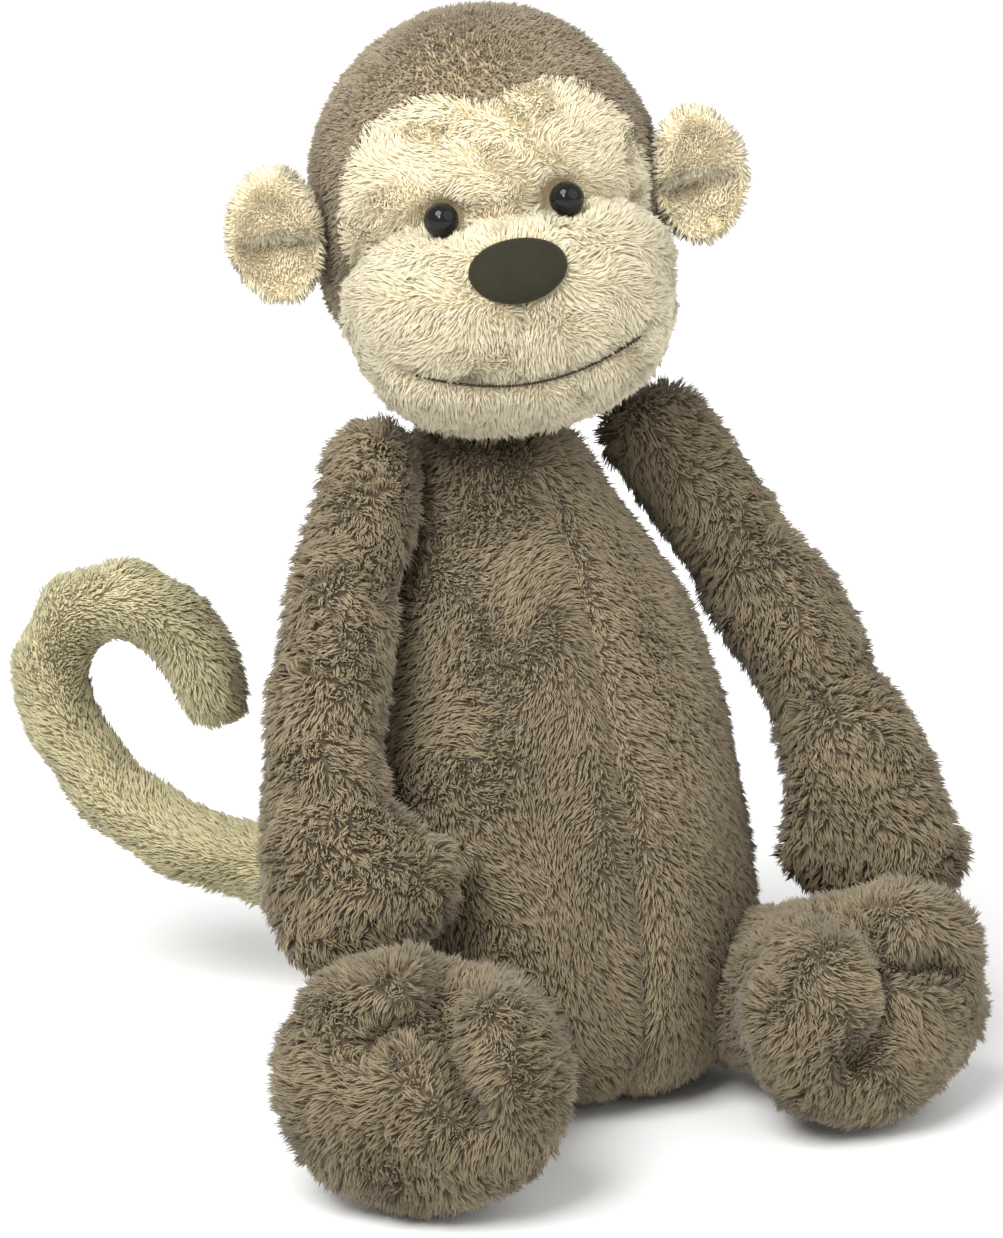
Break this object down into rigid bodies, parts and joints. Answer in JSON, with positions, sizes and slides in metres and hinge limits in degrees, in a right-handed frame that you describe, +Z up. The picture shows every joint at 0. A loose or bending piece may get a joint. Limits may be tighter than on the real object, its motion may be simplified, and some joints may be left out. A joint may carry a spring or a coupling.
{
  "type": "stuffed monkey",
  "caption": "Seated stuffed toy monkey in shaggy brown plush with a cream face and ears, bead eyes, a suede-like nose, long arms and a curled tail.",
  "frame": {"origin": "middle of the flat base gusset, on the floor", "axes": "+Z up; the body faces -Y; the monkey's right side is -X"},
  "size_m": [0.2114, 0.2475, 0.2773],
  "materials": {
    "brown_plush": "long clumpy pile",
    "cap_plush": "short dense pile",
    "cream_plush": "curly short pile",
    "tail_plush": "fine pile laid along the tail",
    "nose_suede": "smooth suede-like cloth",
    "black_bead": "glossy",
    "stuffing_fibre": "loose polyester fibre",
    "pellet_bag_cloth": "plain woven bag of plastic pellets",
    "washer_plastic": "matt",
    "smile_thread": "twisted thread"
  },
  "bodies": {
    "torso": {"body_front_left_panel": "brown_plush", "body_front_right_panel": "brown_plush", "body_back_left_panel": "brown_plush", "body_back_right_panel": "brown_plush", "body_base_gusset": "brown_plush", "body_stuffing": "stuffing_fibre", "seat_pellet_bag": "pellet_bag_cloth"},
    "neck": {"neck_plug": "stuffing_fibre"},
    "head": {"head_back_left_panel": "cap_plush", "head_back_right_panel": "cap_plush", "face_panel": "cream_plush", "muzzle_upper_panel": "cream_plush", "muzzle_chin_panel": "cream_plush", "head_stuffing": "stuffing_fibre", "muzzle_stuffing": "stuffing_fibre", "nose": "nose_suede", "eye_left": "black_bead", "eye_right": "black_bead", "eye_left_washer": "washer_plastic", "eye_right_washer": "washer_plastic", "smile_thread": "smile_thread"},
    "ear_left": {"ear_left_front_leaf": "cream_plush", "ear_left_back_leaf": "cream_plush"},
    "ear_right": {"ear_right_front_leaf": "cream_plush", "ear_right_back_leaf": "cream_plush"},
    "arm_left": {"arm_left_outer_panel": "brown_plush", "arm_left_inner_panel": "brown_plush", "arm_left_stuffing": "stuffing_fibre"},
    "arm_right": {"arm_right_outer_panel": "brown_plush", "arm_right_inner_panel": "brown_plush", "arm_right_stuffing": "stuffing_fibre"},
    "leg_left": {"leg_left_outer_panel": "brown_plush", "leg_left_inner_panel": "brown_plush", "leg_left_sole": "brown_plush", "leg_left_stuffing": "stuffing_fibre", "leg_left_pellet_bag": "pellet_bag_cloth"},
    "leg_right": {"leg_right_outer_panel": "brown_plush", "leg_right_inner_panel": "brown_plush", "leg_right_sole": "brown_plush", "leg_right_stuffing": "stuffing_fibre", "leg_right_pellet_bag": "pellet_bag_cloth"},
    "tail": {"tail_outer_panel": "tail_plush", "tail_inner_panel": "tail_plush", "tail_stuffing": "stuffing_fibre"}
  },
  "joints": [
    {"name": "head_turn", "type": "hinge", "parent": "torso", "child": "neck", "pos_m": [0, 0.027, 0.1686], "axis": [0, 0, 1], "range_deg": [-20, 50], "stiffness_Nm_per_rad": 0.15},
    {"name": "head_nod", "type": "hinge", "parent": "neck", "child": "head", "pos_m": [0, 0.027, 0.1806], "axis": [0.9272, -0.3746, 0], "range_deg": [-12, 8], "stiffness_Nm_per_rad": 0.8},
    {"name": "ear_left_fold", "type": "hinge", "parent": "head", "child": "ear_left", "pos_m": [0.03686, -0.00084, 0.23617], "axis": [0.137, -0.0554, -0.989], "range_deg": [-12, 50], "stiffness_Nm_per_rad": 0.006},
    {"name": "ear_right_fold", "type": "hinge", "parent": "head", "child": "ear_right", "pos_m": [-0.04585, 0.03258, 0.22283], "axis": [-0.137, 0.0554, 0.989], "range_deg": [-12, 50], "stiffness_Nm_per_rad": 0.006},
    {"name": "arm_left_raise", "type": "hinge", "parent": "torso", "child": "arm_left", "pos_m": [0.0465, 0.019, 0.1605], "axis": [0, -1, 0], "range_deg": [0, 75]},
    {"name": "arm_right_raise", "type": "hinge", "parent": "torso", "child": "arm_right", "pos_m": [-0.0365, 0.02, 0.1625], "axis": [0, 1, 0], "range_deg": [0, 75]},
    {"name": "leg_left_swing", "type": "hinge", "parent": "torso", "child": "leg_left", "pos_m": [0.04, -0.031, 0.024], "axis": [0, 0, -1], "range_deg": [0, 12], "stiffness_Nm_per_rad": 0.1},
    {"name": "leg_right_swing", "type": "hinge", "parent": "torso", "child": "leg_right", "pos_m": [-0.0315, -0.0335, 0.024], "axis": [0, 0, 1], "range_deg": [0, 18], "stiffness_Nm_per_rad": 0.1},
    {"name": "tail_wag", "type": "hinge", "parent": "torso", "child": "tail", "pos_m": [-0.003, 0.0698, 0.024], "axis": [0, 0, 1], "range_deg": [-22, 20], "stiffness_Nm_per_rad": 0.03}
  ]
}
